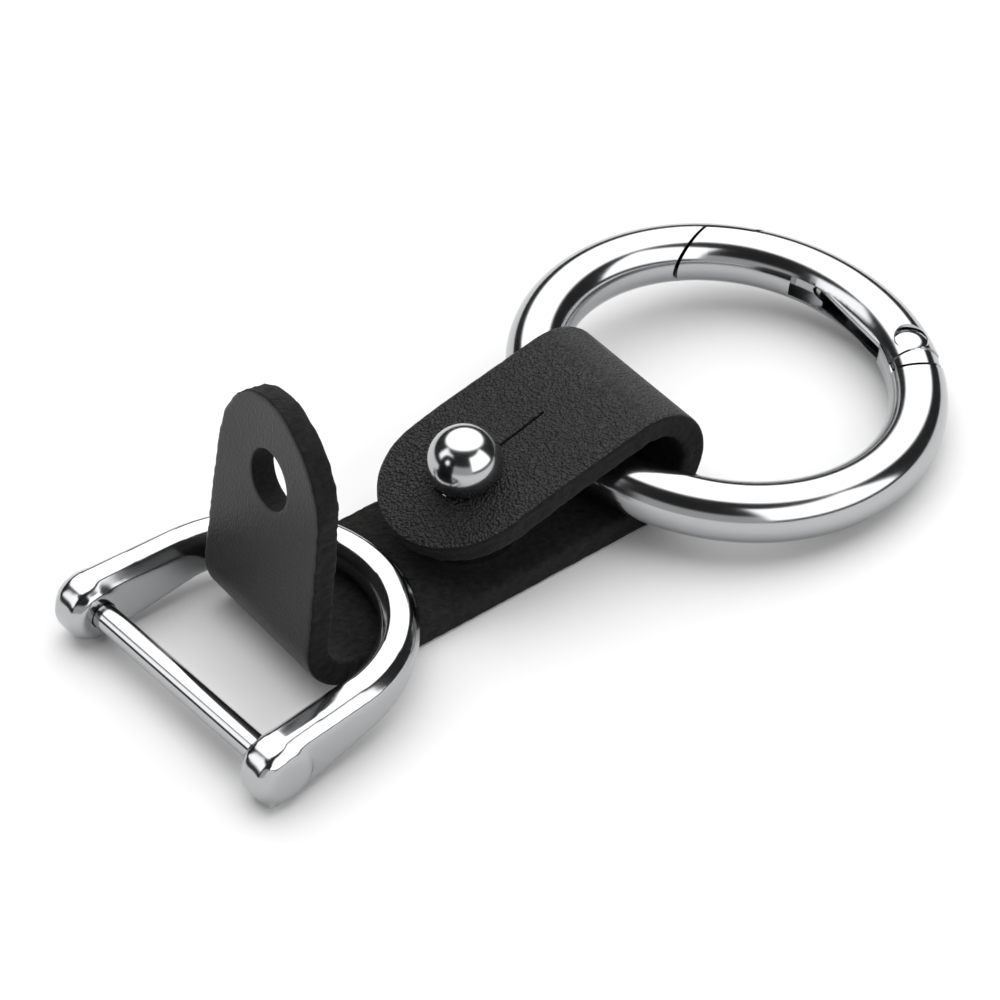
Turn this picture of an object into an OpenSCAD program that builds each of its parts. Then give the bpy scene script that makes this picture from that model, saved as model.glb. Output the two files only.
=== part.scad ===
// Belt key clip: a leather strap with a ball stud, a spring-gate ring and a horseshoe shackle.
// All lengths in millimetres, +Z up, +X toward the ring, Z = 0 on the strap's underside.

/* [Strap] */
// Width of the leather strap
strap_w = 14.4; // [10:0.1:30]
// Thickness of the leather
leather_t = 2.2; // [1.2:0.1:4]
// Distance from the stud to the middle of the ring fold
fold_x = 13.7; // [10:0.1:30]
// Outside radius of the fold that holds the ring
fold_r = 5.55; // [4:0.05:10]
// Slope of the folded tab as it comes down from the ring to the stud (degrees)
fold_slope = 11.5; // [5:1:25]
// Length of the sloping stretch
slope_len = 8.2; // [7:0.1:9]
// Outside radius of the wide bow in which the folded tab's end droops over the stud
droop_r = 58; // [40:1:70]
// Slope of the tab at its tip (degrees)
end_slope = 23.5; // [18:1:28]
// Diameter of the button holes
hole_d = 6.2; // [3:0.1:10]
// Length of the slit that lets the hole pass over the ball
slit_len = 5; // [2:0.1:8]
// Width of the slit
slit_w = 0.3; // [0.1:0.05:1]
// Direction of the slit in plan (degrees)
slit_turn = 12; // [0:1:30]

/* [Open tab] */
// Distance from the stud to the middle of the open tab's bend
bend_x = 15.2; // [12:0.1:30]
// Outside radius of the bend
bend_r = 5.2; // [3.5:0.1:8]
// Lean of the standing tab toward the stud (degrees)
tab_lean = 9; // [0:1:25]
// Distance along the standing tab from its bending line to the centre of its round end
tab_reach = 12.3; // [9:0.1:24]
// Distance along the standing tab from its bending line to its hole
tab_hole_at = 12.6; // [9:0.05:24]
// Opening left between the bend and the foot of the standing tab
bend_gap = 0.2; // [0.1:0.05:0.5]

/* [Ball stud] */
// Diameter of the ball
ball_d = 6.2; // [4:0.1:9]
// Height of the ball's centre above the strap's underside
ball_z = 9.5; // [7:0.05:14]
// Distance of the stud from the strap's middle line, toward the near edge
stud_off = 0.2; // [0:0.1:2]
// Diameter of the stud's foot
foot_d = 8.4; // [5:0.1:10]
// Thickness of the stud's foot
foot_t = 0.8; // [0.5:0.1:1.5]
// Diameter of the neck
neck_d = 3.2; // [2.5:0.1:5]
// Diameter of the screw's shank
screw_d = 2; // [1.5:0.1:3]
// Diameter of the screw's head
head_d = 6.4; // [4:0.1:9]
// Thickness of the screw's head
head_t = 0.8; // [0.5:0.05:1.2]

/* [Ring] */
// Mean diameter of the ring
ring_d = 32.4; // [24:0.1:50]
// Thickness of the ring's bar
wire_d = 5; // [3:0.1:8]
// Distance of the ring's bar behind the middle of its fold
bar_back = 2.7; // [0:0.05:6]
// Distance of the ring's centre toward the near side
ring_off = 0.6; // [0:0.1:3]
// Height of the ring's bar inside its fold
bar_z = 5.5; // [3:0.01:9]
// Dip of the ring toward its far end (degrees)
ring_pitch = 4.2; // [0:0.1:10]
// Dip of the ring toward the near side (degrees)
ring_roll = 4.8; // [0:0.1:10]
// Place of the gate's rivet on the ring (degrees, clockwise from the far end)
rivet_at = 22; // [15:1:40]
// Place of the nose joint on the ring (degrees, anticlockwise from the far end)
nose_at = 60; // [45:1:80]
// Direction of the slanting nose joint in the ring's plane (degrees)
nose_slant = 18; // [10:1:19]
// Opening at the nose joint
nose_gap = 0.25; // [0.1:0.05:0.6]
// Place where the frame's outer lip ends (degrees)
lip_end = 43; // [35:1:50]
// Thickness of the outer lip
lip_t = 2; // [0.6:0.1:2.4]
// Diameter of the gate's rivet
rivet_d = 2.8; // [1.5:0.1:3.2]
// Radius of the gate's rounded cheeks round the rivet
cheek_r = 3.25; // [2.6:0.05:4]
// Opening between the gate's cheeks and the frame's bar
cheek_gap = 0.4; // [0.05:0.05:0.5]
// Distance from the rivet to the low end of the cheeks
cheek_flat = 1.5; // [1.5:0.05:2.2]
// Depth of the cheeks' low end under the bar's surface
cheek_step = 0.12; // [0.1:0.05:0.5]
// Width of the groove round each head of the rivet
groove_w = 0.12; // [0.05:0.01:0.3]
// Depth of the groove round each head of the rivet
groove_t = 0.8; // [0.5:0.1:1]
// Thickness of the frame's tongue between the cheeks
tongue_t = 1.9; // [1.2:0.1:3]
// Radius of the tongue's end round the rivet
tongue_r = 2.5; // [1.8:0.05:3]
// Distance from the rivet to the tongue's flat that the plunger rests on
tongue_flat = 2; // [1.2:0.05:2.6]
// Play beside the tongue
side_play = 0.1; // [0.05:0.05:0.3]
// Wall of the gate behind its channel
back_wall = 1.4; // [0.8:0.1:2]
// End of the deep channel inside the gate (degrees)
channel_end = 15; // [5:1:25]
// End of the shallow scoop at the gate's inner side (degrees)
scoop_end = 27; // [20:1:35]
// Depth of the shallow scoop
scoop_t = 1; // [0.5:0.1:1.6]

/* [Gate spring] */
// Distance of the plunger's line from the rivet, toward the ring's inside
plunger_off = 0.85; // [0.5:0.05:1.2]
// Turn of the plunger's line from square to the far direction (degrees)
plunger_turn = 3.6; // [0:0.1:8]
// Thickness of the plunger's rod
plunger_d = 0.9; // [0.6:0.05:1.2]
// Diameter of the plunger's collar
collar_d = 1.8; // [1.2:0.05:2.4]
// Thickness of the plunger's collar
collar_t = 0.5; // [0.3:0.1:1]
// Diameter of the spring's bore
spring_bore_d = 2; // [1.5:0.1:2.6]
// Outside diameter of the gate spring
spring_d = 1.7; // [1:0.05:2.2]
// Thickness of the spring's wire
spring_wire = 0.25; // [0.15:0.01:0.4]
// Distance between the spring's curls
spring_pitch = 0.7; // [0.6:0.01:1]
// Number of curls in the spring
spring_turns = 5; // [3:1:8]

/* [Shackle] */
// Distance from the stud to the pin's middle
shackle_x = 28.2; // [24:0.1:45]
// Distance of the pin's middle toward the near side
shackle_off = 1.2; // [0:0.1:4]
// Height of the pin above the strap's underside plane
pin_z = 2.85; // [2.5:0.05:5]
// Turn of the shackle in plan (degrees)
shackle_turn = 4; // [0:0.1:10]
// Dip of the shackle's top toward its bow (degrees)
shackle_dip = 2; // [0:0.1:6]
// Room between the strap's edge and the inside of the bow
bow_room = 2.4; // [0.5:0.1:5]
// Distance from the pin to the bow's centre
bow_x = 7.4; // [4:0.1:16]
// Width of the bow's bar
bar_w = 3.2; // [2:0.1:6]
// Height of the bar at the pin
bar_h = 5.6; // [2.5:0.05:8]
// Height of the bar's top above the pin's middle
bar_top = 3.05; // [1.5:0.05:5]
// Rise of the bar's underside against its top (degrees)
taper = 10.6; // [0:0.1:12]
// Size of the bevels along the bar's top edges
bevel = 0.9; // [0.2:0.1:1.2]
// Outward flare of the arms (degrees)
flare = 4; // [0:1:15]
// Diameter of the knuckles that hold the pin
knuckle_d = 5.6; // [4:0.1:9]
// Width of the knuckles
knuckle_w = 3.6; // [3:0.1:7]
// Rounding of the knuckles' rims
knuckle_rim = 0.8; // [0.2:0.1:1]
// Diameter of the pin
pin_d = 2.2; // [1.5:0.1:4]
// Diameter of the pin's head
pin_head_d = 4; // [2.5:0.1:5]
// Thickness of the pin's head
pin_head_t = 1; // [0.5:0.1:2]
// Wall left beyond the pin's threaded end
pin_wall = 1.2; // [0.6:0.1:3]
// Play round the pin in the plain knuckle
pin_play = 0.08; // [0.02:0.01:0.3]

/* [Hidden] */

// colours
leather_col = [0.13, 0.13, 0.14];
tab_col = [0.16, 0.16, 0.17];
chrome_col = [0.80, 0.81, 0.83];
steel_col = [0.68, 0.69, 0.71];
spring_col = [0.74, 0.72, 0.66];

// shares of the driving dimensions
recess_share = 1.2;
collar_share = 0.494;
slot_deep_share = 0.6;
overrun_share = 2;
crown_share = 0.98;
fit_share = 0.02;
mask_share = 3;
reach_share = 1.3;
sector_share = 1.5;
zone_share = 1.2;
tab_hole_share = 0.79;
hole_fit_share = 1.1;
stud_bore_share = 1.05;
stud_depth_share = 0.4;
head_proud_share = 0.1;
turned_share = 2.5;
countersink_share = 0.5;
lap_share = 0.02;

// one length past every cut
over = wire_d * overrun_share;

// strap profile
fold_split = 10;
fold_in = fold_r - leather_t;
slope_x = fold_x - fold_r * sin(fold_slope);
slope_z = fold_r + fold_r * cos(fold_slope);
slope_end_x = slope_x - slope_len * cos(fold_slope);
slope_end_z = slope_z - slope_len * sin(fold_slope);
droop_x = slope_end_x + droop_r * sin(fold_slope);
droop_z = slope_end_z - droop_r * cos(fold_slope);
end_x = droop_x - droop_r * sin(end_slope);
end_z = droop_z + droop_r * cos(end_slope);
hole_from = end_z - leather_t;
spare_turn = 3;
tab_r = strap_w / 2;
half_t = leather_t / 2;
recess_d = head_d * (1 + fit_share);
recess_t = head_t * recess_share;
lap = leather_t * lap_share;

// open tab
bend_in = bend_r - leather_t;
bend_mid = bend_r - half_t;
pivot_x = -bend_x - bend_mid;
pivot_z = bend_r;
bend_cut = asin((half_t + bend_gap) / bend_mid);
tab_hole_d = hole_d * tab_hole_share;

// stud
ball_r = ball_d / 2;
stud_y = -stud_off;
foot_top = leather_t + foot_t;

// ring
ring_r = ring_d / 2;
ring_x = fold_x - bar_back + ring_r * cos(ring_pitch);
ring_z = bar_z - ring_r * sin(ring_pitch);
wire_r = wire_d / 2;
rivet_r = rivet_d / 2;
rivet_u = ring_r * cos(rivet_at);
rivet_v = -ring_r * sin(rivet_at);
nose_u = ring_r * cos(nose_at);
nose_v = ring_r * sin(nose_at);
lip_r = ring_r + wire_r - lip_t;
lip_v = lip_r * sin(lip_end);
channel_r = ring_r + wire_r - back_wall;
scoop_r = ring_r - wire_r + scoop_t;
tongue_h = tongue_t / 2;
slot_h = tongue_h + side_play;
reach_u = ring_r + wire_d;
far_u = reach_u * reach_share;

// plunger line, in the ring's plane
line_a = 90 - plunger_turn;
collar_at = ring_r * collar_share;
line_c = cos(line_a);
line_s = sin(line_a);
tip_u = rivet_u + tongue_flat * line_c - plunger_off * line_s;
tip_v = rivet_v + tongue_flat * line_s + plunger_off * line_c;
tip_play = side_play / 2;
spring_at = tip_play + collar_at + collar_t;
spring_len = spring_pitch * spring_turns + spring_wire * overrun_share;
bore_end = spring_at + spring_len;
bore_start = bore_end - spring_len - collar_t * 3;

// shackle
bow_r = strap_w / 2 + bow_room + bar_w;
bow_mid = bow_r - bar_w / 2;
arm_u = bow_x + bow_mid * sin(flare);
arm_v = bow_mid * cos(flare);
arm_len = arm_u / cos(flare);
knuckle_v = arm_v + arm_u * tan(flare);
knuckle_in = knuckle_v - knuckle_w / 2;
knuckle_out = knuckle_v + knuckle_w / 2;
pin_tip = -knuckle_out + pin_wall;
pin_head_v = knuckle_out - pin_head_t * head_proud_share;

// prints the least opening between the spring's curls
echo(spring_gap = spring_pitch - spring_wire);

// a sector of the plane between two directions less than 180 degrees apart
module sector(size, from, to) {
  mid = (from + to) / 2;
  polygon([
    [0, 0],
    [size * cos(from), size * sin(from)],
    [size * sector_share * cos((from + mid) / 2), size * sector_share * sin((from + mid) / 2)],
    [size * sector_share * cos(mid), size * sector_share * sin(mid)],
    [size * sector_share * cos((mid + to) / 2), size * sector_share * sin((mid + to) / 2)],
    [size * cos(to), size * sin(to)]
  ]);
}

// a curved band of leather seen from the side
module band(inner, outer, from, to) {
  intersection() {
    difference() {
      circle(r = outer, $fn = 96);
      circle(r = inner, $fn = 96);
    }
    sector(outer * mask_share, from, to);
  }
}

// runs a side profile across the strap's width
module across(width) {
  rotate([90, 0, 0])
    linear_extrude(height = width, center = true)
      children();
}

module strap() {
  color(leather_col)
    difference() {
      union() {
        across(strap_w) {
          translate([-bend_x, 0]) square([bend_x + fold_x, leather_t]);
          translate([fold_x, fold_r]) band(fold_in, fold_r, -90, fold_split);
          translate([fold_x, fold_r]) band(fold_in, fold_r, fold_split, 90 + fold_slope);
          translate([slope_x, slope_z])
            rotate(fold_slope)
              translate([-slope_len - lap, -leather_t])
                square([slope_len + lap * 2, leather_t]);
          translate([-bend_x, bend_r])
            band(bend_in, bend_r, 180 + bend_cut, 270);
        }
        intersection() {
          across(strap_w)
            translate([droop_x, droop_z])
              band(droop_r - leather_t, droop_r, 90 + fold_slope, 90 + end_slope + spare_turn);
          translate([end_x, 0, end_z])
            rotate([0, -end_slope, 0])
              union() {
                translate([tab_r, 0, -leather_t * 2])
                  cylinder(h = leather_t * 4, r = tab_r, $fn = 96);
                translate([tab_r, -tab_r, -leather_t * 2])
                  cube([strap_w, strap_w, leather_t * 4]);
              }
        }
      }
      translate([0, stud_y, hole_from])
        cylinder(h = leather_t * 3, d = hole_d, $fn = 64);
      translate([0, stud_y, hole_from])
        rotate([0, 0, slit_turn])
          translate([0, -slit_w / 2, 0])
            cube([hole_d / 2 + slit_len, slit_w, leather_t * 3]);
      translate([0, stud_y, -over])
        cylinder(h = over * sector_share, d = screw_d * hole_fit_share, $fn = 48);
      translate([0, stud_y, -over])
        cylinder(h = over + recess_t, d = recess_d, $fn = 64);
    }
}

// the standing tab, drawn from its bending line
module open_tab() {
  color(tab_col)
    translate([pivot_x, 0, pivot_z])
      rotate([0, tab_lean, 0])
        difference() {
          union() {
            rotate([90, 0, 0])
              cylinder(h = strap_w, d = leather_t, center = true, $fn = 64);
            translate([-half_t, -tab_r, 0])
              cube([leather_t, strap_w, tab_reach]);
            translate([0, 0, tab_reach])
              rotate([0, 90, 0])
                cylinder(h = leather_t, r = tab_r, center = true, $fn = 96);
          }
          translate([0, -stud_off, tab_hole_at])
            rotate([0, 90, 0])
              cylinder(h = over, d = tab_hole_d, center = true, $fn = 64);
        }
}

module ball_stud() {
  color(chrome_col)
    translate([0, stud_y, 0])
      difference() {
        union() {
          translate([0, 0, leather_t])
            cylinder(h = foot_t, d = foot_d, $fn = 96);
          translate([0, 0, leather_t])
            cylinder(h = ball_z - leather_t, d = neck_d, $fn = 64);
          translate([0, 0, ball_z])
            sphere(r = ball_r, $fn = 96);
        }
        translate([0, 0, -over])
          cylinder(h = over + ball_z - ball_r * stud_depth_share, d = screw_d * stud_bore_share, $fn = 48);
      }
}

module stud_screw() {
  color(steel_col)
    translate([0, stud_y, recess_t - head_t])
      difference() {
        union() {
          cylinder(h = head_t, d = head_d, $fn = 64);
          cylinder(h = ball_z - ball_r, d = screw_d, $fn = 48);
        }
        translate([-head_d, -head_t / 2, -over])
          cube([head_d * 2, head_t, over + head_t * slot_deep_share]);
      }
}

// puts a piece drawn in the ring's own plane into its place
module in_ring() {
  translate([ring_x, -ring_off, ring_z])
    rotate([ring_roll, ring_pitch, 0])
      children();
}

module bar_ring(bar_r = wire_r) {
  rotate_extrude($fn = 128)
    translate([ring_r, 0])
      circle(r = bar_r, $fn = 64);
}

// the part of the plane that belongs to the gate, less a set opening at the nose
module gate_zone(gap) {
  polygon([
    [nose_u + wire_d * zone_share * cos(nose_slant) + gap * sin(nose_slant), nose_v + wire_d * zone_share * sin(nose_slant) - gap * cos(nose_slant)],
    [nose_u - wire_d * zone_share * cos(nose_slant) + gap * sin(nose_slant), nose_v - wire_d * zone_share * sin(nose_slant) - gap * cos(nose_slant)],
    [0, 0],
    [far_u * cos(rivet_at), -far_u * sin(rivet_at)],
    [far_u, ring_r / 2]
  ]);
}

// a flat slice of the plane through the bar's middle
module slice(half) {
  translate([0, 0, -half])
    linear_extrude(height = half * 2)
      children();
}

module ring_frame() {
  color(chrome_col)
    in_ring()
      difference() {
        union() {
          difference() {
            bar_ring();
            slice(wire_d) gate_zone(0);
            translate([rivet_u, rivet_v, -wire_d])
              cylinder(h = wire_d * 2, r = cheek_r + cheek_gap, $fn = 96);
          }
          intersection() {
            bar_ring();
            slice(wire_d)
              difference() {
                intersection() {
                  gate_zone(0);
                  translate([0, lip_v + nose_gap]) square([far_u, far_u]);
                }
                circle(r = lip_r, $fn = 128);
              }
          }
          intersection() {
            bar_ring();
            slice(tongue_h)
              union() {
                sector(reach_u, -rivet_at * 2, -rivet_at);
                intersection() {
                  translate([rivet_u, rivet_v]) circle(r = tongue_r, $fn = 96);
                  translate([rivet_u, rivet_v])
                    rotate(line_a)
                      translate([-wire_d, -wire_d])
                        square([wire_d + tongue_flat, wire_d * 2]);
                }
              }
          }
        }
        translate([rivet_u, rivet_v, -wire_d])
          cylinder(h = wire_d * 2, d = rivet_d * (1 + fit_share * 2), $fn = 64);
      }
}

// the round end of the gate's cheeks, in the ring's plane
module cheek_disc() {
  translate([rivet_u, rivet_v]) circle(r = cheek_r, $fn = 96);
}

module ring_gate() {
  color(chrome_col)
    in_ring()
      difference() {
        union() {
          intersection() {
            bar_ring();
            slice(wire_d)
              union() {
                gate_zone(nose_gap);
                intersection() {
                  cheek_disc();
                  translate([rivet_u, rivet_v])
                    rotate(-rivet_at)
                      translate([-wire_d, -cheek_flat])
                        square(wire_d * 2);
                }
              }
          }
          intersection() {
            bar_ring(wire_r - cheek_step);
            slice(wire_d) cheek_disc();
          }
        }
        // room for the frame's outer lip
        slice(wire_d)
          difference() {
            translate([0, lip_v]) square([far_u, far_u]);
            circle(r = lip_r - side_play, $fn = 128);
          }
        // fork for the frame's tongue
        slice(slot_h)
          union() {
            sector(reach_u, -rivet_at * turned_share, -rivet_at);
            translate([rivet_u, rivet_v]) circle(r = tongue_r + side_play * 2, $fn = 96);
            intersection() {
              sector(reach_u, -rivet_at, channel_end);
              circle(r = channel_r, $fn = 128);
            }
            intersection() {
              sector(reach_u, channel_end - zone_share, scoop_end);
              circle(r = scoop_r, $fn = 128);
            }
          }
        // bore of the spring
        translate([tip_u, tip_v, 0])
          rotate([0, 0, line_a])
            translate([bore_start, 0, 0])
              rotate([0, 90, 0])
                cylinder(h = bore_end - bore_start, d = spring_bore_d, $fn = 48);
        translate([rivet_u, rivet_v, -wire_d])
          cylinder(h = wire_d * 2, d = rivet_d, $fn = 64);
        // grooves round the rivet's heads
        for (up = [-1, 1])
          translate([rivet_u, rivet_v, up * wire_r])
            cylinder(h = groove_t * 2, r = rivet_r + groove_w, center = true, $fn = 64);
      }
}

module gate_rivet() {
  color(steel_col)
    in_ring()
      intersection() {
        translate([rivet_u, rivet_v, -wire_r])
          cylinder(h = wire_d, d = rivet_d, $fn = 64);
        translate([rivet_u, rivet_v, 0])
          sphere(r = wire_r * crown_share, $fn = 96);
      }
}

module gate_plunger() {
  color(steel_col)
    in_ring()
      translate([tip_u, tip_v, 0])
        rotate([0, 0, line_a])
          rotate([0, 90, 0])
            union() {
              translate([0, 0, tip_play])
                cylinder(h = collar_at, d = plunger_d, $fn = 32);
              translate([0, 0, tip_play + collar_at])
                cylinder(h = collar_t, d = collar_d, $fn = 48);
            }
}

// the spring's wire as one unbroken tube
module coil(mean_r, wire, pitch, turns, rings, sides) {
  count = turns * rings;
  pts = [
    for (i = [0 : count])
      for (j = [0 : sides - 1])
        let (
          a = i * 360 / rings,
          b = j * 360 / sides,
          q = mean_r + wire / 2 * cos(b)
        )
        [q * cos(a), q * sin(a), pitch * i / rings + wire / 2 * sin(b)]
  ];
  sides_f = [
    for (i = [0 : count - 1])
      for (j = [0 : sides - 1])
        let (
          k = (j + 1) % sides,
          m = i * sides,
          n = m + sides
        )
        [m + j, n + j, n + k, m + k]
  ];
  first_f = [for (j = [0 : sides - 1]) j];
  last_f = [for (j = [sides - 1 : -1 : 0]) count * sides + j];
  polyhedron(points = pts, faces = concat([first_f], sides_f, [last_f]), convexity = 10);
}

module gate_spring() {
  color(spring_col)
    in_ring()
      translate([tip_u, tip_v, 0])
        rotate([0, 0, line_a])
          translate([spring_at + spring_wire, 0, 0])
            rotate([0, 90, 0])
              coil((spring_d - spring_wire) / 2, spring_wire, spring_pitch, spring_turns, 8, 6);
}

// puts a piece drawn round the pin's middle into its place
module in_shackle() {
  translate([-shackle_x, -shackle_off, pin_z])
    rotate([0, 0, shackle_turn])
      rotate([0, shackle_dip, 0])
        children();
}

// section of the bar: width along the first axis, height above the pin's middle along the second
module bar_section() {
  hw = bar_w / 2;
  polygon([
    [-hw, bar_top - bar_h],
    [hw, bar_top - bar_h],
    [hw, bar_top - bevel],
    [hw - bevel, bar_top],
    [-hw + bevel, bar_top],
    [-hw, bar_top - bevel]
  ]);
}

module knuckle() {
  translate([0, knuckle_v, 0])
    rotate([90, 0, 0])
      union() {
        cylinder(h = knuckle_w - knuckle_rim * 2, d = knuckle_d, center = true, $fn = 96);
        translate([0, 0, knuckle_w / 2 - knuckle_rim])
          cylinder(h = knuckle_rim, d1 = knuckle_d, d2 = knuckle_d - knuckle_rim * 2, $fn = 96);
        translate([0, 0, -knuckle_w / 2])
          cylinder(h = knuckle_rim, d1 = knuckle_d - knuckle_rim * 2, d2 = knuckle_d, $fn = 96);
      }
}

module arm() {
  translate([arm_u, arm_v, 0])
    rotate([0, 0, -flare])
      rotate([0, -90, 0])
        rotate([0, 0, -90])
          translate([0, 0, -lap])
            linear_extrude(height = arm_len + lap)
              bar_section();
}

// the bent bar, lower at its bow than at its ends
module bent_bar() {
  difference() {
    union() {
      translate([bow_x, 0, 0])
        rotate([0, 0, -90 + flare])
          rotate_extrude(angle = 180 - flare * 2, $fn = 128)
            translate([bow_mid, 0])
              bar_section();
      arm();
      mirror([0, 1, 0]) arm();
    }
    translate([0, 0, bar_top - bar_h])
      rotate([0, -taper, 0])
        translate([-over, -over * 2, -over])
          cube([over * 5, over * 4, over]);
  }
}

module shackle() {
  color(chrome_col)
    in_shackle()
      difference() {
        union() {
          bent_bar();
          knuckle();
          mirror([0, 1, 0]) knuckle();
        }
        translate([0, pin_tip, 0])
          rotate([-90, 0, 0])
            cylinder(h = over * 4, d = pin_d + pin_play * 2, $fn = 64);
        translate([0, pin_head_v - pin_head_t, 0])
          rotate([-90, 0, 0])
            cylinder(h = over, d = pin_head_d + pin_play * 2, $fn = 64);
      }
}

module shackle_pin() {
  color(chrome_col)
    in_shackle()
      difference() {
        union() {
          translate([0, pin_tip + pin_play, 0])
            rotate([-90, 0, 0])
              cylinder(h = pin_head_v - pin_tip - pin_play, d = pin_d, $fn = 64);
          translate([0, pin_head_v - pin_head_t + pin_play, 0])
            rotate([-90, 0, 0])
              cylinder(h = pin_head_t - pin_play, d = pin_head_d, $fn = 64);
        }
        translate([-pin_head_d, pin_head_v - pin_head_t * countersink_share, -pin_head_t / 4])
          cube([pin_head_d * 2, over, pin_head_t / 2]);
      }
}

strap();
open_tab();
ball_stud();
stud_screw();
ring_frame();
ring_gate();
gate_rivet();
gate_plunger();
gate_spring();
shackle();
shackle_pin();
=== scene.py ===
# Looks of the belt key clip: camera, light, materials and the leather hide.
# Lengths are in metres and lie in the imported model's frame.
import itertools
import math

import bmesh
import bpy
from mathutils import Matrix, Vector, noise
from mathutils.geometry import delaunay_2d_cdt


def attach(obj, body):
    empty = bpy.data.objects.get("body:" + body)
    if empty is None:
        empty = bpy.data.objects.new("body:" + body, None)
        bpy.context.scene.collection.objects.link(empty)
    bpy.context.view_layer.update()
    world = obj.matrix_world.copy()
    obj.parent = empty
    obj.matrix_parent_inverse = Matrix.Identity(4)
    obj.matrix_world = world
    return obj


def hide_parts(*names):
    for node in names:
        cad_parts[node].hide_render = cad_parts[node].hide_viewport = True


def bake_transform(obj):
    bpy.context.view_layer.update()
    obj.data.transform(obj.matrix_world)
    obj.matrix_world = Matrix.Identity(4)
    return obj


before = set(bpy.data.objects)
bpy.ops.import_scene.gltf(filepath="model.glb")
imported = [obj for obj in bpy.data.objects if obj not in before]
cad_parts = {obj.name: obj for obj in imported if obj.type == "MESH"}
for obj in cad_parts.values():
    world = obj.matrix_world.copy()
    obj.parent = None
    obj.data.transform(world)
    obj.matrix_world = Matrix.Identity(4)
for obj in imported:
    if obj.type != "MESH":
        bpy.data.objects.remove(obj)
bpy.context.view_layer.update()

MM = 0.001

# Sizes of the hide, in millimetres
LEATHER_T = 2.2
STRAP_W = 14.4
FOLD_X = 13.7
FOLD_R = 5.55
FOLD_SLOPE = 11.5
SLOPE_LEN = 8.2
DROOP_R = 58.0
END_SLOPE = 23.5
STUD_Y = -0.2
HOLE_R = 2.1
SLIT_LEN = 6.5
SLIT_W = 0.12
SLIT_TURN = 2.7
BEND_X = 15.2
BEND_R = 5.2
TAB_LEAN = 9.0
TAB_REACH = 12.3
TAB_HOLE_AT = 12.6
TAB_HOLE_R = 2.45
TAB_TWIST = 0.0058
KINK_R = 0.8
FOLD_LAP = 0.001
HALF_T = LEATHER_T / 2
HALF_W = STRAP_W / 2

# Fineness of the hide's mesh, in millimetres and in points on an arc
GRID = 0.42
GRID_SHARE = 0.45
RIM = 0.42
RIM_PLAY = 0.01
HOLE_RIM = 0.38
OUTER_STEP = 0.25
HOLE_STEP = 0.35
END_POINTS = 48
HOLE_POINTS = 56
TIP_POINTS = 6
SLIT_START = 0.8
SLIT_STOP = 1.0
TURN_BACK = 0.2
NEAR = 1e-9
MERGE = 1e-6

# Waves as size, seed of the noise and height, and how far the cut edges are frayed
FACE_WAVES = [(9.0, 3.0, 0.05)]
NAP_WAVES = [(0.9, 7.0, 0.06), (0.35, 9.0, 0.04)]
WAVE_SHARE = 0.4
GRAIN_SINK = 0.02
FRAY_DEPTH = 0.5
FRAY_WAVES = [(0.7, 5.0, 1.0), (0.35, 6.0, 0.7)]
FRAY = 0.10
FRAY_GRAIN = 0.035
FRAY_LEVEL = 0.5
TAB_FRAY = 0.2
TAB_FRAY_GRAIN = 0.1
TAB_FRAY_LEVEL = 0.7
TAB_FRAY_LEN = 9
FRAY_SINK = 0.9
FRAY_SQUEEZE = 0.7
FRAY_APART = 9
SEED_SHARE = 1.7


class Path:
    """Middle line of the bent hide, built from straights and arcs, in the plane of X and Z."""

    def __init__(self, point, heading):
        self.parts = []
        self.length = 0.0
        self.point = Vector(point)
        self.heading = heading

    def straight(self, length):
        self.parts.append((self.length, self.point.copy(), self.heading, 0.0))
        a = math.radians(self.heading)
        self.point += Vector((math.cos(a), math.sin(a))) * length
        self.length += length

    def arc(self, radius, turn):
        length = abs(math.radians(turn)) * radius
        rate = turn / length
        self.parts.append((self.length, self.point.copy(), self.heading, rate))
        self.point = self.at(self.length + length)[0]
        self.heading += turn
        self.length += length

    def at(self, s):
        """Point and heading in degrees at the distance s along the line."""
        here = self.parts[0]
        for part in self.parts:
            if s >= part[0] - NEAR:
                here = part
        start, point, heading, rate = here
        d = s - start
        if rate == 0.0:
            a = math.radians(heading)
            return point + Vector((math.cos(a), math.sin(a))) * d, heading
        r = math.degrees(1.0 / rate)
        a0 = math.radians(heading)
        a1 = math.radians(heading + rate * d)
        centre = point + Vector((-math.sin(a0), math.cos(a0))) * r
        return centre - Vector((-math.sin(a1), math.cos(a1))) * r, heading + rate * d


def hide_path():
    """The hide from the standing tab's top, round its bend, along the flat and round the fold."""
    lean = math.radians(TAB_LEAN)
    pivot = Vector((-BEND_X - BEND_R + HALF_T, BEND_R))
    kink = KINK_R * math.tan(lean / 2)
    corner = pivot + Vector((0, kink))
    up = Vector((math.sin(lean), math.cos(lean)))
    path = Path(corner + up * (TAB_REACH + HALF_W - kink), -90.0 - TAB_LEAN)
    path.straight(TAB_REACH + HALF_W - kink * 2)
    path.arc(KINK_R, TAB_LEAN)
    path.arc(BEND_R - HALF_T, 90.0)
    path.straight(BEND_X + FOLD_X + FOLD_LAP)
    path.arc(FOLD_R - HALF_T, 180.0 + FOLD_SLOPE)
    path.straight(SLOPE_LEN)
    path.arc(DROOP_R - HALF_T, END_SLOPE - FOLD_SLOPE)
    return path


PATH = hide_path()
TAB_HOLE_S = HALF_W + TAB_REACH - TAB_HOLE_AT
TAB_FOOT_S = HALF_W + TAB_REACH


def over_stud():
    """Distance along the hide at which its middle line passes over the stud, at X zero."""
    bow = DROOP_R - HALF_T
    end = math.radians(END_SLOPE)
    here = math.asin(PATH.point.x / bow + math.sin(end))
    return PATH.length - bow * (end - here)


STUD_S = over_stud()


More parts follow.
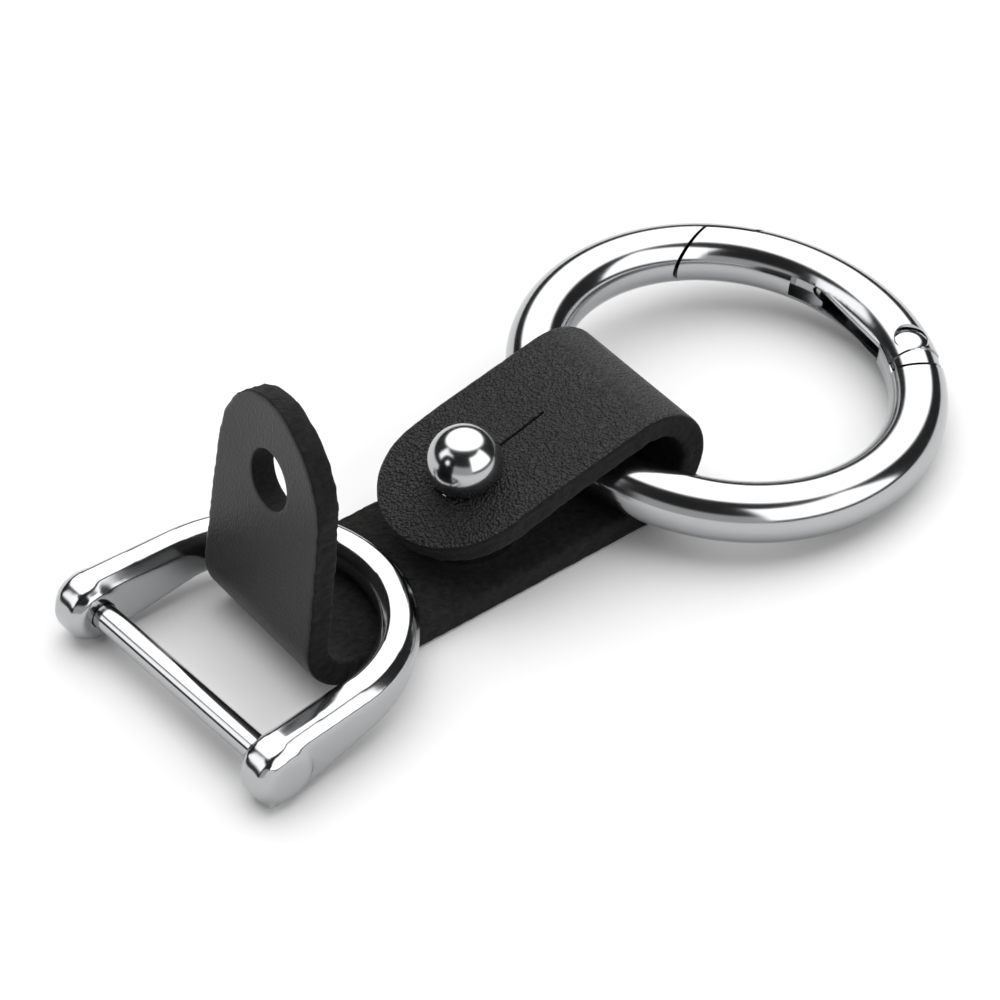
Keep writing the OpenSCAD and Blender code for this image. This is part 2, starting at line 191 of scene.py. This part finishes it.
def bent(s, t, n):
    """Point of the bent hide: s along it, t across it, n outward to its grain side."""
    point, heading = PATH.at(s)
    a = math.radians(heading)
    out = Vector((math.sin(a), -math.cos(a)))
    p = point + out * n
    above = max(0.0, 1.0 - s / TAB_FOOT_S)
    twist = TAB_TWIST * t * TAB_FOOT_S * above * above
    return Vector((p.x + twist, t, p.y))


# Flat outline of the hide
def arc_points(cx, cy, r, a0, a1, count):
    """Points on an arc, from angle a0 to a1 in degrees."""
    made = []
    for i in range(count + 1):
        a = math.radians(a0 + (a1 - a0) * i / count)
        made.append(Vector((cx + r * math.cos(a), cy + r * math.sin(a))))
    return made


def evenly(points, step):
    """The closed outline again, with points about one step apart."""
    made = []
    for i, p in enumerate(points):
        q = points[(i + 1) % len(points)]
        count = max(1, round((q - p).length / step))
        for k in range(count):
            made.append(p.lerp(q, k / count))
    return made


def outlines():
    """Outer outline, the stud's hole with its slit, and the standing tab's hole."""
    first = HALF_W
    last = PATH.length - HALF_W
    outer = arc_points(last, 0, HALF_W, -90, 90, END_POINTS)
    outer += arc_points(first, 0, HALF_W, 90, 270, END_POINTS)
    outer = evenly(outer, OUTER_STEP)
    a = math.degrees(math.asin(SLIT_W / 2 / HOLE_R))
    turn = 180.0 - SLIT_TURN
    stud = arc_points(STUD_S, STUD_Y, HOLE_R, turn + a, turn + 360 - a, HOLE_POINTS)
    along = Vector((math.cos(math.radians(turn)), math.sin(math.radians(turn))))
    side = Vector((-along.y, along.x))
    centre = Vector((STUD_S, STUD_Y))
    reach = HOLE_R + SLIT_LEN
    half = SLIT_W / 2
    tip = centre + along * (reach - half)
    low = [centre + along * d - side * half for d in (HOLE_R + SLIT_START, reach - SLIT_STOP)]
    end = arc_points(tip.x, tip.y, half, turn - 90, turn + 90, TIP_POINTS)
    high = [centre + along * d + side * half for d in (reach - SLIT_STOP, HOLE_R + SLIT_START)]
    stud = evenly(stud + low + end + high, HOLE_STEP)
    tab = arc_points(TAB_HOLE_S, STUD_Y, TAB_HOLE_R, 0, 360, HOLE_POINTS)[:-1]
    return outer, stud, tab


def inset(loop, distance, outward):
    """The loop moved into the leather by a distance."""
    made = []
    count = len(loop)
    for i, p in enumerate(loop):
        before = (p - loop[i - 1]).normalized()
        after = (loop[(i + 1) % count] - p).normalized()
        along = before + after
        along = along.normalized() if along.length > TURN_BACK else after
        side = Vector((-along.y, along.x))
        made.append(p + side * (distance if outward else -distance))
    return made


def is_left_turning(loop):
    """True where the loop runs anticlockwise."""
    area = 0.0
    for i, p in enumerate(loop):
        q = loop[(i + 1) % len(loop)]
        area += p.x * q.y - q.x * p.y
    return area > 0


# Section of the cut edge, as distance into the leather and share of its height over the middle
EDGE = [
    (RIM, 1.0),
    (0.26, 0.985),
    (0.12, 0.93),
    (0.03, 0.82),
    (0.0, 0.62),
    (0.03, 0.2),
    (0.0, -0.25),
    (0.03, -0.7),
    (0.1, -0.9),
    (0.24, -0.985),
    (RIM, -1.0),
]
GRAIN_ROWS = 2
FLESH_ROWS = 7


def rough(p, size, seed):
    """Smooth noise between about -1 and 1 for waves of the given size."""
    return noise.noise(Vector((p.x / size + seed, p.y / size, seed * SEED_SHARE)))


def swell(p, waves, height=1.0):
    """The sum of several waves at p."""
    return sum(rough(p, size, seed) * height * share for size, seed, share in waves)


def hide_mesh():
    """The whole hide as one closed mesh, cut edges rough, bent along its path."""
    outer, stud, tab = outlines()
    loops = []
    for k, loop in enumerate((outer, stud, tab)):
        left = is_left_turning(loop)
        inward = left if k == 0 else not left
        scale = 1.0 if k == 0 else HOLE_RIM
        loops.append((loop, inward, scale))
    verts, uvs, faces, kinds = [], [], [], []

    def add(p, n):
        verts.append((p.x, p.y, n))
        return len(verts) - 1

    rims = []
    for loop, inward, scale in loops:
        rings = []
        for depth, height in EDGE:
            rings.append([add(p, height * HALF_T) for p in inset(loop, depth * scale, inward)])
        count = len(loop)
        for j in range(len(rings) - 1):
            for i in range(count):
                a, b = rings[j][i], rings[j][(i + 1) % count]
                c, d = rings[j + 1][(i + 1) % count], rings[j + 1][i]
                faces.append((a, b, c, d) if not inward else (d, c, b, a))
                kinds.append(0 if j < GRAIN_ROWS else (1 if j > FLESH_ROWS else 2))
        rims.append((rings[0], rings[-1]))

    def flat(which):
        """One flat face, 0 for the grain side, with its grid points kept off the loops."""
        border, edges, ids = [], [], []
        for top, bottom in rims:
            ring = top if which == 0 else bottom
            first = len(border)
            for i in ring:
                border.append(Vector(verts[i][:2]))
                ids.append(i)
            for i in range(len(ring)):
                edges.append((first + i, first + (i + 1) % len(ring)))
        height = HALF_T if which == 0 else -HALF_T
        points = list(border)
        length = PATH.length
        columns = int(length / GRID)
        rows = int(STRAP_W / GRID)
        for i in range(1, columns):
            s = length * i / columns
            for j in range(1, rows):
                t = -HALF_W + STRAP_W * j / rows
                p = Vector((s, t))
                if not inside(p, RIM + GRID * GRID_SHARE):
                    continue
                points.append(p)
                ids.append(add(p, height))
        made = delaunay_2d_cdt(points, edges, [], 0, MERGE)
        out_verts, out_faces, source = made[0], made[2], made[3]
        lookup = [ids[origin[0]] for origin in source]
        for f in out_faces:
            mid = sum((out_verts[i] for i in f), Vector((0, 0))) / len(f)
            if not inside(mid, RIM + RIM_PLAY):
                continue
            tri = [lookup[i] for i in f]
            faces.append(tuple(tri) if which == 0 else tuple(reversed(tri)))
            kinds.append(which)

    stud_centre = Vector((STUD_S, STUD_Y))
    tab_centre = Vector((TAB_HOLE_S, STUD_Y))
    turn = math.radians(180.0 - SLIT_TURN)
    along = Vector((math.cos(turn), math.sin(turn)))
    across = Vector((-along.y, along.x))

    def inside(p, margin):
        """True where p is in the leather, at least a margin from its edges."""
        x = min(max(p.x, HALF_W), PATH.length - HALF_W)
        if (p - Vector((x, 0))).length > HALF_W - margin:
            return False
        hole_margin = margin * HOLE_RIM
        if (p - stud_centre).length < HOLE_R + hole_margin:
            return False
        if (p - tab_centre).length < TAB_HOLE_R + hole_margin:
            return False
        d = p - stud_centre
        reach = d.dot(along)
        if 0 < reach < HOLE_R + SLIT_LEN + hole_margin:
            if abs(d.dot(across)) < SLIT_W / 2 + hole_margin:
                return False
        return True

    flat(0)
    flat(1)

    # waves in the faces and roughness along the cut edges
    placed = []
    for s, t, n in verts:
        p = Vector((s, t))
        grain = n > 0
        fuzz = 0.0 if grain else swell(p, NAP_WAVES)
        x = min(max(s, HALF_W), PATH.length - HALF_W)
        away = p - Vector((x, 0))
        shift = Vector((0, 0))
        if HALF_W - away.length < FRAY_DEPTH:
            q = Vector((s, n * FRAY_SQUEEZE + (FRAY_APART if t > 0 else 0)))
            amount = FRAY if n < FRAY_LEVEL else FRAY_GRAIN
            if s < HALF_W + TAB_FRAY_LEN:
                amount = TAB_FRAY if n < TAB_FRAY_LEVEL else TAB_FRAY_GRAIN
            shift = away.normalized() * (swell(q, FRAY_WAVES, amount) - amount * FRAY_SINK)
        q = p + shift
        height = n * (1 - GRAIN_SINK * grain) + swell(p, FACE_WAVES) * WAVE_SHARE
        b = bent(q.x, q.y, height + abs(fuzz) * WAVE_SHARE)
        placed.append((b.x * MM, b.y * MM, b.z * MM))
        uvs.append((s * MM, t * MM))
    return placed, uvs, faces, kinds


def make_hide(materials):
    """The hide object with its flat coordinates as a map."""
    placed, uvs, faces, kinds = hide_mesh()
    mesh = bpy.data.meshes.new("hide")
    mesh.from_pydata(placed, [], faces)
    layer = mesh.uv_layers.new(name="flat")
    for loop in mesh.loops:
        layer.data[loop.index].uv = uvs[loop.vertex_index]
    for m in materials:
        mesh.materials.append(m)
    for polygon, kind in zip(mesh.polygons, kinds):
        polygon.material_index = kind
        polygon.use_smooth = True
    obj = bpy.data.objects.new("hide", mesh)
    bpy.context.scene.collection.objects.link(obj)
    return obj


# Shackle, its edges rounded as on a polished casting
SHACKLE_X = 28.2
SHACKLE_Y = -1.2
PIN_Z = 2.85
SHACKLE_TURN = 4.0
SHACKLE_DIP = 2.0
KNUCKLE_IN = 9.945
KNUCKLE_OUT = 13.545
PIN_WALL = 1.2
PIN_R = 1.1
PIN_HEAD_R = 2.0
PIN_PLAY = 0.08
ARM_V = 11.745
ARM_HALF = 1.42
FLARE = 4.0
CORNER_BACK = 1.9
CORNER_FRONT = 0.5
CORNER_LOW = -2.45
CORNER_TOP = 2.05
NEAR_LAP = 0.2
FAR_LAP = 0.3
FILL_INSET = 0.1
FACE_INSET = 0.02
BORE_RUN = 2
RECESS_T = 1.1
RECESS_RUN = 3
VOXEL = 0.16
ROUNDING = 26
ROUNDING_SHARE = 0.5
SHARP_ANGLE = 50


def shackle_matrix():
    """From the shackle's own axes, round the pin's middle, to the frame."""
    turn = Matrix.Rotation(math.radians(SHACKLE_TURN), 4, "Z")
    dip = Matrix.Rotation(math.radians(SHACKLE_DIP), 4, "Y")
    return Matrix.Translation((-SHACKLE_X * MM, SHACKLE_Y * MM, PIN_Z * MM)) @ turn @ dip


def rod(name, radius, start, end, sides=96):
    """A closed cylinder on the pin's axis, in the shackle's axes."""
    verts, faces = [], []
    for y in (start, end):
        for i in range(sides):
            a = math.tau * i / sides
            verts.append((radius * math.sin(a) * MM, y * MM, radius * math.cos(a) * MM))
    for i in range(sides):
        k = (i + 1) % sides
        faces.append((i, k, sides + k, sides + i))
    faces.append(tuple(reversed(range(sides))))
    faces.append(tuple(range(sides, sides * 2)))
    mesh = bpy.data.meshes.new(name)
    mesh.from_pydata(verts, [], faces)
    mesh.transform(shackle_matrix())
    return mesh


def block(name, low, high):
    """A closed box at the end of the near arm, in line with the arm."""
    verts = [(x * MM, y * MM, z * MM) for x, y, z in itertools.product(*zip(low, high))]
    faces = [(0, 1, 3, 2), (4, 6, 7, 5), (0, 4, 5, 1), (2, 3, 7, 6), (0, 2, 6, 4), (1, 5, 7, 3)]
    mesh = bpy.data.meshes.new(name)
    mesh.from_pydata(verts, [], faces)
    mesh.transform(Matrix.Rotation(math.radians(FLARE), 4, "Z"))
    mesh.transform(Matrix.Translation((0, -ARM_V * MM, 0)))
    mesh.transform(shackle_matrix())
    return mesh


def joined(name, meshes):
    """One object from several meshes."""
    made = bmesh.new()
    for mesh in meshes:
        made.from_mesh(mesh)
    mesh = bpy.data.meshes.new(name)
    made.to_mesh(mesh)
    made.free()
    obj = bpy.data.objects.new(name, mesh)
    bpy.context.scene.collection.objects.link(obj)
    return obj


def settle(obj):
    """Turns the object's modifiers into its mesh."""
    graph = bpy.context.evaluated_depsgraph_get()
    mesh = bpy.data.meshes.new_from_object(obj.evaluated_get(graph))
    obj.modifiers.clear()
    obj.data = mesh


def make_shackle():
    """The CAD shackle with its bores filled, melted round, then drilled again."""
    blind = -KNUCKLE_OUT + PIN_WALL
    near_fill = rod("near_fill", PIN_R + NEAR_LAP, blind - NEAR_LAP, -KNUCKLE_IN - FILL_INSET)
    far_fill = rod("far_fill", PIN_HEAD_R + FAR_LAP, KNUCKLE_IN + FILL_INSET, KNUCKLE_OUT - FACE_INSET)
    low = (-CORNER_BACK, -ARM_HALF, CORNER_LOW)
    corner = block("corner", low, (CORNER_FRONT, ARM_HALF, CORNER_TOP))
    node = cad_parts["shackle"]
    solid = node.data.copy()
    solid.transform(node.matrix_world)
    body = joined("shackle_body", [solid, near_fill, far_fill, corner])
    melt = body.modifiers.new("melt", "REMESH")
    melt.mode = "VOXEL"
    melt.voxel_size = VOXEL * MM
    smooth = body.modifiers.new("round", "SMOOTH")
    smooth.factor = ROUNDING_SHARE
    smooth.iterations = ROUNDING
    settle(body)
    bores = [
        rod("near_bore", PIN_R + PIN_PLAY, blind, -KNUCKLE_IN + BORE_RUN),
        rod("far_bore", PIN_R + PIN_PLAY, KNUCKLE_IN - BORE_RUN, KNUCKLE_OUT + BORE_RUN),
        rod("recess", PIN_HEAD_R + PIN_PLAY, KNUCKLE_OUT - RECESS_T, KNUCKLE_OUT + RECESS_RUN),
    ]
    for mesh in bores:
        tool = joined("tool", [mesh])
        cut = body.modifiers.new("cut", "BOOLEAN")
        cut.operation = "DIFFERENCE"
        cut.solver = "EXACT"
        cut.object = tool
        settle(body)
        bpy.data.objects.remove(tool)
    for polygon in body.data.polygons:
        polygon.use_smooth = True
    body.data.set_sharp_from_angle(angle=math.radians(SHARP_ANGLE))
    return body


# Materials: scales are in waves to the metre, depths in millimetres
SMOOTH_GRAIN = 0.12
WARP_SCALE = 900.0
WARP = 0.3
FINE_SCALE = 6500.0
FINE_SHARE = 0.3
CLOUD_SCALE = 150.0
CELL_SOFTNESS = 0.3
CELL_MIDDLE = 0.1
CELL_EDGE = 0.75
GRAIN_DEPTH = 0.25
LEATHER_SHINE = 0.25
NAP_DARK_AT = 0.35
NAP_LIGHT_AT = 0.75
NAP_DEPTH = 0.3
NAP_ROUGHNESS = 0.9
NAP_SHINE = 0.15
NAP_SHEEN = 0.04
HAZE_SCALE = 240.0
RIPPLE_SCALE = 90.0
RIPPLE_DEPTH = 0.2


def new_material(name):
    """An empty node material and its shader."""
    m = bpy.data.materials.new(name)
    m.use_nodes = True
    return m, m.node_tree, m.node_tree.nodes["Principled BSDF"]


def add_node(tree, kind, **values):
    """A node with its named input values set."""
    n = tree.nodes.new(kind)
    for key, value in values.items():
        n.inputs[key.replace("_", " ")].default_value = value
    return n


def add_ramp(tree, source, first_at, first, last_at, last):
    """A colour from a value, between two colours at two places."""
    ramp = tree.nodes.new("ShaderNodeValToRGB")
    for element, place, color in zip(ramp.color_ramp.elements, (first_at, last_at), (first, last)):
        element.position = place
        element.color = (*color, 1)
    tree.links.new(source, ramp.inputs["Fac"])
    return ramp.outputs["Color"]


def add_range(tree, source, low, high):
    """A value from 0 to 1 stretched to run from low to high."""
    made = tree.nodes.new("ShaderNodeMapRange")
    made.inputs["To Min"].default_value = low
    made.inputs["To Max"].default_value = high
    tree.links.new(source, made.inputs["Value"])
    return made


def add_bump(tree, shader, source, strength, depth):
    """Relief of a height in metres on the shader."""
    made = add_node(tree, "ShaderNodeBump", Strength=strength, Distance=depth)
    tree.links.new(source, made.inputs["Height"])
    tree.links.new(made.outputs["Normal"], shader.inputs["Normal"])
    return made


def leather(name, dark, light, cell, strength, rough_low, rough_high):
    """Leather with pebble grain in the hide's flat coordinates, fading toward the standing tab; its base
    colour darkens toward the pebbles' edges as painted shade in the creases.
    """
    m, tree, shader = new_material(name)
    link = tree.links.new
    where = tree.nodes.new("ShaderNodeTexCoord")
    warp = add_node(tree, "ShaderNodeTexNoise", Scale=WARP_SCALE, Detail=2.0)
    link(where.outputs["UV"], warp.inputs["Vector"])
    mixed = tree.nodes.new("ShaderNodeVectorMath")
    mixed.operation = "MULTIPLY_ADD"
    mixed.inputs[1].default_value = (WARP * MM, WARP * MM, 0.0)
    link(warp.outputs["Color"], mixed.inputs[0])
    link(where.outputs["UV"], mixed.inputs[2])
    cells = add_node(tree, "ShaderNodeTexVoronoi", Scale=1.0 / (cell * MM))
    cells.feature = "SMOOTH_F1"
    cells.inputs["Smoothness"].default_value = CELL_SOFTNESS
    link(mixed.outputs["Vector"], cells.inputs["Vector"])
    fine = add_node(tree, "ShaderNodeTexNoise", Scale=FINE_SCALE, Detail=4.0)
    link(where.outputs["UV"], fine.inputs["Vector"])
    cloud = add_node(tree, "ShaderNodeTexNoise", Scale=CLOUD_SCALE, Detail=3.0)
    link(where.outputs["UV"], cloud.inputs["Vector"])
    both = tree.nodes.new("ShaderNodeMath")
    both.operation = "MULTIPLY_ADD"
    both.inputs[1].default_value = -FINE_SHARE
    link(fine.outputs["Fac"], both.inputs[0])
    link(cells.outputs["Distance"], both.inputs[2])
    along = tree.nodes.new("ShaderNodeSeparateXYZ")
    link(where.outputs["UV"], along.inputs["Vector"])
    grain = add_range(tree, along.outputs["X"], SMOOTH_GRAIN, 1.0)
    grain.inputs["From Min"].default_value = (TAB_FOOT_S + BEND_X + FOLD_X) * MM
    grain.inputs["From Max"].default_value = (PATH.length - STRAP_W) * MM
    # Painted shade: the base colour runs from light at the pebbles' middles to dark at their edges, in
    # the creases, scaled by the grain's strength
    crease_shade = tree.nodes.new("ShaderNodeMath")
    crease_shade.operation = "MULTIPLY"
    link(cells.outputs["Distance"], crease_shade.inputs[0])
    link(grain.outputs["Result"], crease_shade.inputs[1])
    color = add_ramp(tree, crease_shade.outputs["Value"], CELL_MIDDLE, light, CELL_EDGE, dark)
    link(color, shader.inputs["Base Color"])
    gloss = add_range(tree, cloud.outputs["Fac"], rough_low, rough_high)
    link(gloss.outputs["Result"], shader.inputs["Roughness"])
    force = tree.nodes.new("ShaderNodeMath")
    force.operation = "MULTIPLY"
    force.inputs[1].default_value = strength
    link(grain.outputs["Result"], force.inputs[0])
    bump = add_bump(tree, shader, both.outputs["Value"], strength, GRAIN_DEPTH * MM)
    bump.invert = True
    link(force.outputs["Value"], bump.inputs["Strength"])
    shader.inputs["Specular IOR Level"].default_value = LEATHER_SHINE
    return m


def nap(name, dark, light, scale, strength):
    """Raw flesh side or cut edge, matt and fibrous."""
    m, tree, shader = new_material(name)
    link = tree.links.new
    where = tree.nodes.new("ShaderNodeTexCoord")
    lumps = add_node(tree, "ShaderNodeTexNoise", Scale=scale, Detail=6.0, Roughness=0.7)
    link(where.outputs["Object"], lumps.inputs["Vector"])
    color = add_ramp(tree, lumps.outputs["Fac"], NAP_DARK_AT, dark, NAP_LIGHT_AT, light)
    link(color, shader.inputs["Base Color"])
    add_bump(tree, shader, lumps.outputs["Fac"], strength, NAP_DEPTH * MM)
    shader.inputs["Roughness"].default_value = NAP_ROUGHNESS
    shader.inputs["Specular IOR Level"].default_value = NAP_SHINE
    shader.inputs["Sheen Weight"].default_value = NAP_SHEEN
    return m


def metal(name, color, low, high, ripple):
    """Polished or satin metal with fine haze and faint ripples."""
    m, tree, shader = new_material(name)
    link = tree.links.new
    where = tree.nodes.new("ShaderNodeTexCoord")
    haze = add_node(tree, "ShaderNodeTexNoise", Scale=HAZE_SCALE, Detail=4.0)
    link(where.outputs["Object"], haze.inputs["Vector"])
    gloss = add_range(tree, haze.outputs["Fac"], low, high)
    link(gloss.outputs["Result"], shader.inputs["Roughness"])
    wave = add_node(tree, "ShaderNodeTexNoise", Scale=RIPPLE_SCALE, Detail=1.0)
    link(where.outputs["Object"], wave.inputs["Vector"])
    add_bump(tree, shader, wave.outputs["Fac"], ripple, RIPPLE_DEPTH * MM)
    shader.inputs["Base Color"].default_value = (*color, 1)
    shader.inputs["Metallic"].default_value = 1.0
    return m


# The leather's dark colour is painted shade in the creases between pebbles; the light colour is the
# pebbles' own tone
GRAIN = leather("grain_leather", (0.005, 0.005, 0.0055), (0.018, 0.018, 0.019), 0.22, 1.0, 0.36, 0.48)
FLESH = nap("flesh_side", (0.002, 0.002, 0.002), (0.018, 0.0175, 0.0165), 1700.0, 1.0)
EDGES = nap("cut_edge", (0.004, 0.004, 0.004), (0.012, 0.012, 0.012), 1700.0, 0.7)
CHROME = metal("chrome", (0.43, 0.435, 0.445), 0.1, 0.17, 0.05)
SATIN = metal("satin_chrome", (0.44, 0.445, 0.455), 0.13, 0.19, 0.05)
STEEL = metal("steel", (0.45, 0.455, 0.46), 0.18, 0.28, 0.05)
SPRING = metal("spring_steel", (0.42, 0.42, 0.42), 0.18, 0.28, 0.0)

FINISH = {
    "ball_stud": SATIN,
    "stud_screw": STEEL,
    "ring_frame": CHROME,
    "ring_gate": CHROME,
    "gate_rivet": CHROME,
    "gate_plunger": STEEL,
    "gate_spring": SPRING,
    "shackle": CHROME,
    "shackle_pin": CHROME,
    "strap": GRAIN,
    "open_tab": GRAIN,
}
for node, finish in FINISH.items():
    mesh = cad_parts[node].data
    mesh.materials.clear()
    mesh.materials.append(finish)

# Leather
hide = make_hide([GRAIN, FLESH, EDGES])
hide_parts("strap", "open_tab")
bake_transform(hide)

# Shackle
body = make_shackle()
body.data.materials.clear()
body.data.materials.append(CHROME)
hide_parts("shackle")
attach(body, "shackle_body")

# Floor
FLOOR = 3.0
FLOOR_DROP = 0.00002
FLOOR_TONE = 0.7
FLOOR_ROUGHNESS = 0.8
floor_mesh = bpy.data.meshes.new("floor")
floor_corners = [(x * FLOOR, y * FLOOR, 0) for x, y in ((-1, -1), (1, -1), (1, 1), (-1, 1))]
floor_mesh.from_pydata(floor_corners, [], [(0, 1, 2, 3)])
floor = bpy.data.objects.new("floor", floor_mesh)
floor.location.z = -FLOOR_DROP
bpy.context.scene.collection.objects.link(floor)
pale, _, pale_shader = new_material("pale_floor")
pale_shader.inputs["Base Color"].default_value = (FLOOR_TONE, FLOOR_TONE, FLOOR_TONE, 1)
pale_shader.inputs["Roughness"].default_value = FLOOR_ROUGHNESS
floor_mesh.materials.append(pale)


# World light as soft panels round the object, placed by azimuth from the camera's side and by elevation
BASE_LIGHT = 0.03
PANELS = [
    # azimuth from, azimuth to, elevation from, elevation to, soft edge, all in degrees, and brightness
    (22.0, 88.0, 8.0, 50.0, 5.0, 2.6),
    (-98.0, -52.0, 16.0, 46.0, 9.0, 2.2),
    (-40.0, 24.0, -20.0, 24.0, 9.0, 0.6),
]
SKY_ELEVATION = 62.0
SKY_RADIUS = 44.0
SKY_SOFT = 8.0
SKY_LIGHT = 2.8


class World:
    """Node helpers for the world's light."""

    def __init__(self, name):
        self.world = bpy.data.worlds.new(name)
        self.world.use_nodes = True
        self.tree = self.world.node_tree
        self.shader = self.tree.nodes["Background"]
        self.ray = self.tree.nodes.new("ShaderNodeTexCoord").outputs["Generated"]

    def math(self, operation, *values):
        node = self.tree.nodes.new("ShaderNodeMath")
        node.operation = operation
        for i, value in enumerate(values):
            if isinstance(value, (int, float)):
                node.inputs[i].default_value = value
            else:
                self.tree.links.new(value, node.inputs[i])
        return node.outputs["Value"]

    def dot(self, direction):
        node = self.tree.nodes.new("ShaderNodeVectorMath")
        node.operation = "DOT_PRODUCT"
        self.tree.links.new(self.ray, node.inputs[0])
        node.inputs[1].default_value = direction
        return node.outputs["Value"]

    def edge(self, value, low, high):
        """Rises smoothly from 0 to 1 as the value goes from low to high."""
        node = self.tree.nodes.new("ShaderNodeMapRange")
        node.interpolation_type = "SMOOTHSTEP"
        node.inputs["From Min"].default_value = low
        node.inputs["From Max"].default_value = high
        self.tree.links.new(value, node.inputs["Value"])
        return node.outputs["Result"]

    def band(self, value, low, high, soft):
        """1 between low and high, fading out over the soft width."""
        rise = self.edge(value, low - soft / 2, low + soft / 2)
        fall = self.edge(value, high - soft / 2, high + soft / 2)
        return self.math("SUBTRACT", rise, fall)


def make_world(front):
    """Soft panels in a dark room; front is the level direction from the object to the camera."""
    world = World("studio")
    side = Vector((-front.y, front.x, 0))
    to_degrees = 180.0 / math.pi
    azimuth = world.math("MULTIPLY", world.math("ARCTAN2", world.dot(side), world.dot(front)), to_degrees)
    elevation = world.math("MULTIPLY", world.math("ARCSINE", world.dot((0, 0, 1))), to_degrees)
    total = BASE_LIGHT
    for az0, az1, el0, el1, soft, light in PANELS:
        across = world.band(azimuth, az0, az1, soft)
        upward = world.band(elevation, el0, el1, soft)
        panel = world.math("MULTIPLY", world.math("MULTIPLY", across, upward), light)
        total = world.math("MAXIMUM", panel, total)
    tilt = math.radians(SKY_ELEVATION)
    middle = Vector((0, 0, math.sin(tilt))) - front * math.cos(tilt)
    near = math.cos(math.radians(SKY_RADIUS + SKY_SOFT / 2))
    far = math.cos(math.radians(SKY_RADIUS - SKY_SOFT / 2))
    sky = world.math("MULTIPLY", world.edge(world.dot(middle), near, far), SKY_LIGHT)
    total = world.math("MAXIMUM", sky, total)
    world.tree.links.new(total, world.shader.inputs["Color"])
    return world.world


# Camera, with the light set from its side
EYE = Vector((-122.03, -166.75, 196.16)) * MM
BACK = Vector((-0.44193, -0.58646, 0.6788)).normalized()
RIGHT = Vector((0.7946, -0.60708, -0.00718)).normalized()
UP = BACK.cross(RIGHT).normalized()
LENS = 126.0
SENSOR = 36.0
bpy.context.scene.world = make_world(Vector((BACK.x, BACK.y, 0)).normalized())
bpy.context.scene.view_settings.view_transform = "Standard"
camera_data = bpy.data.cameras.new("camera")
camera_data.lens = LENS
camera_data.sensor_width = SENSOR
camera = bpy.data.objects.new("camera", camera_data)
rows = [(RIGHT[i], UP[i], BACK[i], EYE[i]) for i in range(3)]
camera.matrix_world = Matrix(rows + [(0, 0, 0, 1)])
bpy.context.scene.collection.objects.link(camera)
bpy.context.scene.camera = camera
